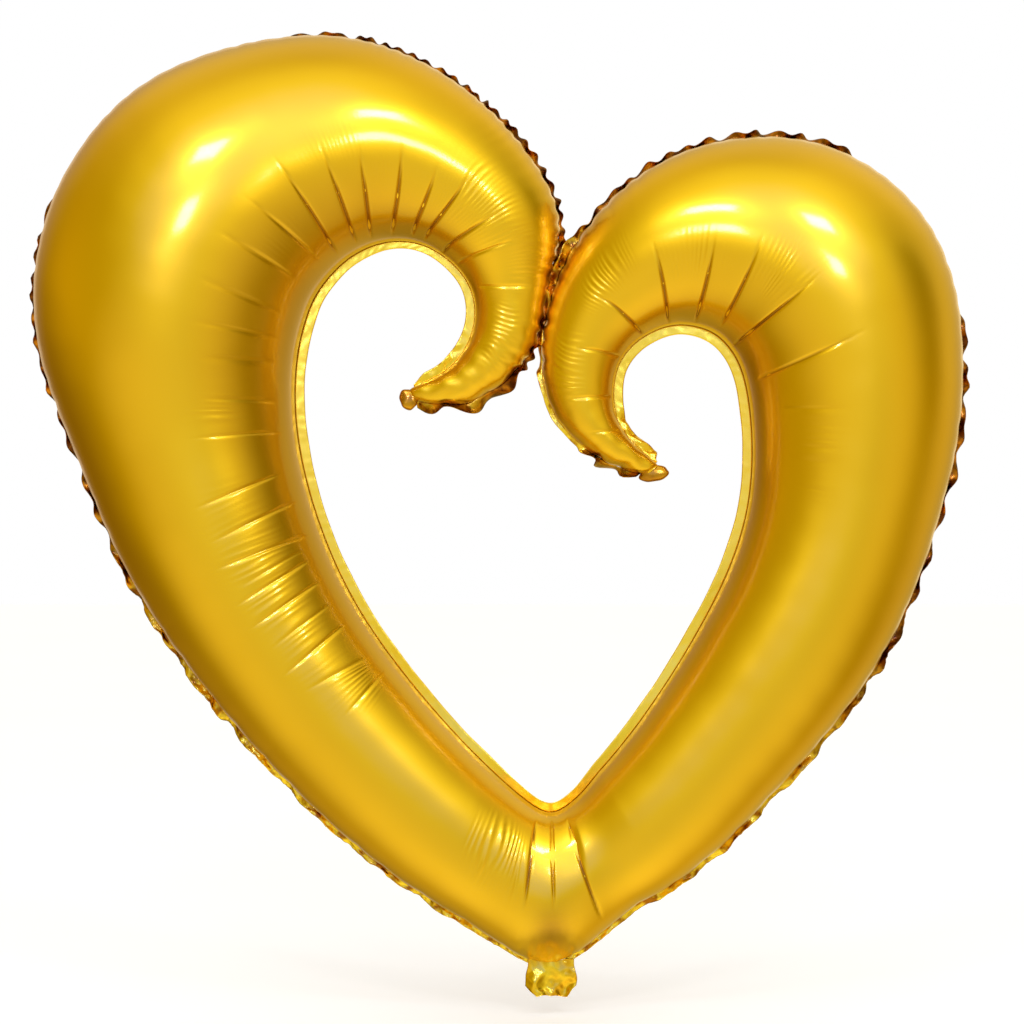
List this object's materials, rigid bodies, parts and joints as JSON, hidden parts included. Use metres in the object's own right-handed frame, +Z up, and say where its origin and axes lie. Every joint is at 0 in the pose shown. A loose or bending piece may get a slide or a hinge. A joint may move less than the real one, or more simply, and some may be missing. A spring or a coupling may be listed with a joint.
{
  "type": "heart foil balloon",
  "caption": "Inflated gold foil balloon: an open heart made of one tapering tube whose ends curl inward, with welded seam margins and a folding filling tail.",
  "frame": {"origin": "middle of the throat, where the ribbon is tied between the heart's point and the filling tail, in the seam plane", "axes": "+Z up from the heart's point to its lobes, -Y out of the front panel, +X to the right seen from the front; the seam lies in the plane y = 0"},
  "size_m": [0.9446, 0.246, 0.9669],
  "materials": {
    "gold_foil": "satin",
    "welded_foil": "gloss",
    "valve_film": "gloss"
  },
  "bodies": {
    "balloon": {"front_panel": "gold_foil", "back_panel": "gold_foil", "left_outer_seam": "welded_foil", "right_outer_seam": "welded_foil", "inner_seam": "welded_foil", "left_tip_tab": "welded_foil", "right_tip_tab": "welded_foil", "valve_front_film": "valve_film", "valve_back_film": "valve_film"},
    "tail": {"tail_front_film": "gold_foil", "tail_back_film": "gold_foil", "tail_left_weld": "welded_foil", "tail_right_weld": "welded_foil", "tail_valve_front_film": "valve_film", "tail_valve_back_film": "valve_film"}
  },
  "joints": [
    {"name": "tail_fold", "type": "hinge", "parent": "balloon", "child": "tail", "pos_m": [0, 0, -0.0019], "axis": [1, 0, 0], "range_deg": [-90, 90]}
  ]
}
